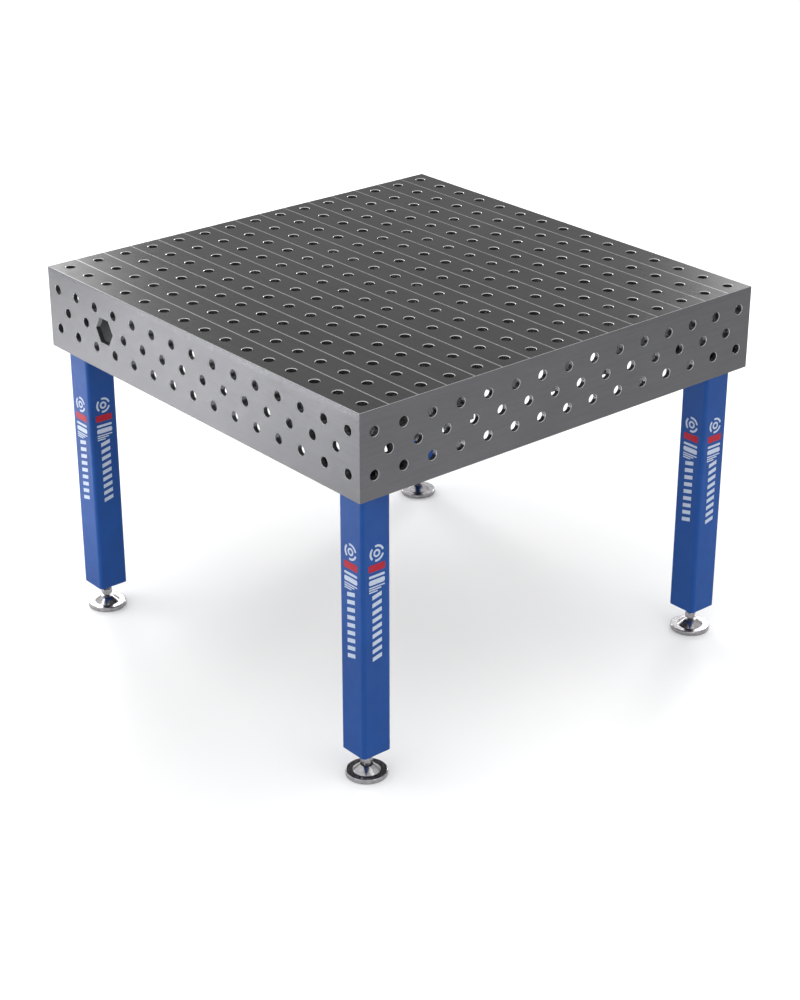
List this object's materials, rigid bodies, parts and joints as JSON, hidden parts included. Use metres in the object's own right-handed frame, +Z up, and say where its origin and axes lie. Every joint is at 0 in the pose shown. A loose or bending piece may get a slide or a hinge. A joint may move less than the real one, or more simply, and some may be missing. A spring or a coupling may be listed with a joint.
{
  "type": "welding table",
  "caption": "Square welding table with a perforated steel top and skirt, an internal rib grid, bolted square legs and screw-adjusted swivel feet.",
  "frame": {"origin": "on the floor under the middle of the top", "axes": "+Z up, -Y the front with the six-sided window, +X the right-hand side"},
  "size_m": [1.2, 1.2, 0.925],
  "materials": {
    "ground_top_steel": "ground flat with fine straight lay, lightly oiled",
    "skirt_steel": "ground, fine even grain",
    "rib_steel": "mill finish with laser-cut edges",
    "blue_powder_coat": "semi-gloss powder coat with a faint orange peel",
    "plug_steel": "semi-gloss powder coat",
    "polished_foot_steel": "turned and polished",
    "zinc_fasteners": "bright zinc plate"
  },
  "bodies": {
    "root": {"work_top": "ground_top_steel", "side_plate_front": "skirt_steel", "side_plate_right": "skirt_steel", "side_plate_rear": "skirt_steel", "side_plate_left": "skirt_steel", "long_rib_1": "rib_steel", "long_rib_2": "rib_steel", "long_rib_3": "rib_steel", "long_rib_4": "rib_steel", "long_rib_5": "rib_steel", "cross_rib_1": "rib_steel", "cross_rib_2": "rib_steel", "cross_rib_3": "rib_steel", "cross_rib_4": "rib_steel", "cross_rib_5": "rib_steel", "corner_plate_front_left": "rib_steel", "leg_front_left": "blue_powder_coat", "leg_top_plug_front_left": "plug_steel", "leg_foot_plug_front_left": "plug_steel", "corner_plate_front_right": "rib_steel", "leg_front_right": "blue_powder_coat", "leg_top_plug_front_right": "plug_steel", "leg_foot_plug_front_right": "plug_steel", "corner_plate_rear_right": "rib_steel", "leg_rear_right": "blue_powder_coat", "leg_top_plug_rear_right": "plug_steel", "leg_foot_plug_rear_right": "plug_steel", "corner_plate_rear_left": "rib_steel", "leg_rear_left": "blue_powder_coat", "leg_top_plug_rear_left": "plug_steel", "leg_foot_plug_rear_left": "plug_steel", "leg_screws": "zinc_fasteners", "leg_washers": "zinc_fasteners"},
    "ball_front_left": {"foot_ball_front_left": "polished_foot_steel"},
    "spindle_front_left": {"foot_spindle_front_left": "polished_foot_steel"},
    "base_front_left": {"foot_base_front_left": "polished_foot_steel"},
    "nut_front_left": {"lock_nut_front_left": "zinc_fasteners"},
    "ball_front_right": {"foot_ball_front_right": "polished_foot_steel"},
    "spindle_front_right": {"foot_spindle_front_right": "polished_foot_steel"},
    "base_front_right": {"foot_base_front_right": "polished_foot_steel"},
    "nut_front_right": {"lock_nut_front_right": "zinc_fasteners"},
    "ball_rear_right": {"foot_ball_rear_right": "polished_foot_steel"},
    "spindle_rear_right": {"foot_spindle_rear_right": "polished_foot_steel"},
    "base_rear_right": {"foot_base_rear_right": "polished_foot_steel"},
    "nut_rear_right": {"lock_nut_rear_right": "zinc_fasteners"},
    "ball_rear_left": {"foot_ball_rear_left": "polished_foot_steel"},
    "spindle_rear_left": {"foot_spindle_rear_left": "polished_foot_steel"},
    "base_rear_left": {"foot_base_rear_left": "polished_foot_steel"},
    "nut_rear_left": {"lock_nut_rear_left": "zinc_fasteners"}
  },
  "joints": [
    {"name": "foot_height_front_left", "type": "slide", "parent": "root", "child": "ball_front_left", "axis": [0, 0, -1], "range_m": [-0.01, 0.025]},
    {"name": "spindle_turn_front_left", "type": "hinge", "parent": "ball_front_left", "child": "spindle_front_left", "pos_m": [-0.534, -0.534, 0.05], "axis": [0, 0, -1], "range_deg": [-1440, 3600]},
    {"name": "base_tilt_front_left", "type": "hinge", "parent": "ball_front_left", "child": "base_front_left", "pos_m": [-0.534, -0.534, 0.019], "axis": [1, 0, 0], "range_deg": [-8, 8]},
    {"name": "lock_nut_turn_front_left", "type": "hinge", "parent": "root", "child": "nut_front_left", "pos_m": [-0.534, -0.534, 0.0637], "axis": [0, 0, -1], "range_deg": [0, 360]},
    {"name": "foot_height_front_right", "type": "slide", "parent": "root", "child": "ball_front_right", "axis": [0, 0, -1], "range_m": [-0.01, 0.025]},
    {"name": "spindle_turn_front_right", "type": "hinge", "parent": "ball_front_right", "child": "spindle_front_right", "pos_m": [0.534, -0.534, 0.05], "axis": [0, 0, -1], "range_deg": [-1440, 3600]},
    {"name": "base_tilt_front_right", "type": "hinge", "parent": "ball_front_right", "child": "base_front_right", "pos_m": [0.534, -0.534, 0.019], "axis": [1, 0, 0], "range_deg": [-8, 8]},
    {"name": "lock_nut_turn_front_right", "type": "hinge", "parent": "root", "child": "nut_front_right", "pos_m": [0.534, -0.534, 0.0637], "axis": [0, 0, -1], "range_deg": [0, 360]},
    {"name": "foot_height_rear_right", "type": "slide", "parent": "root", "child": "ball_rear_right", "axis": [0, 0, -1], "range_m": [-0.01, 0.025]},
    {"name": "spindle_turn_rear_right", "type": "hinge", "parent": "ball_rear_right", "child": "spindle_rear_right", "pos_m": [0.534, 0.534, 0.05], "axis": [0, 0, -1], "range_deg": [-1440, 3600]},
    {"name": "base_tilt_rear_right", "type": "hinge", "parent": "ball_rear_right", "child": "base_rear_right", "pos_m": [0.534, 0.534, 0.019], "axis": [1, 0, 0], "range_deg": [-8, 8]},
    {"name": "lock_nut_turn_rear_right", "type": "hinge", "parent": "root", "child": "nut_rear_right", "pos_m": [0.534, 0.534, 0.0637], "axis": [0, 0, -1], "range_deg": [0, 360]},
    {"name": "foot_height_rear_left", "type": "slide", "parent": "root", "child": "ball_rear_left", "axis": [0, 0, -1], "range_m": [-0.01, 0.025]},
    {"name": "spindle_turn_rear_left", "type": "hinge", "parent": "ball_rear_left", "child": "spindle_rear_left", "pos_m": [-0.534, 0.534, 0.05], "axis": [0, 0, -1], "range_deg": [-1440, 3600]},
    {"name": "base_tilt_rear_left", "type": "hinge", "parent": "ball_rear_left", "child": "base_rear_left", "pos_m": [-0.534, 0.534, 0.019], "axis": [1, 0, 0], "range_deg": [-8, 8]},
    {"name": "lock_nut_turn_rear_left", "type": "hinge", "parent": "root", "child": "nut_rear_left", "pos_m": [-0.534, 0.534, 0.0637], "axis": [0, 0, -1], "range_deg": [0, 360]}
  ],
  "couplings": [
    {"joint": "spindle_turn_front_left", "follows": "foot_height_front_left", "rad_per_m": 2513.3},
    {"joint": "spindle_turn_front_right", "follows": "foot_height_front_right", "rad_per_m": 2513.3},
    {"joint": "spindle_turn_rear_right", "follows": "foot_height_rear_right", "rad_per_m": 2513.3},
    {"joint": "spindle_turn_rear_left", "follows": "foot_height_rear_left", "rad_per_m": 2513.3}
  ]
}
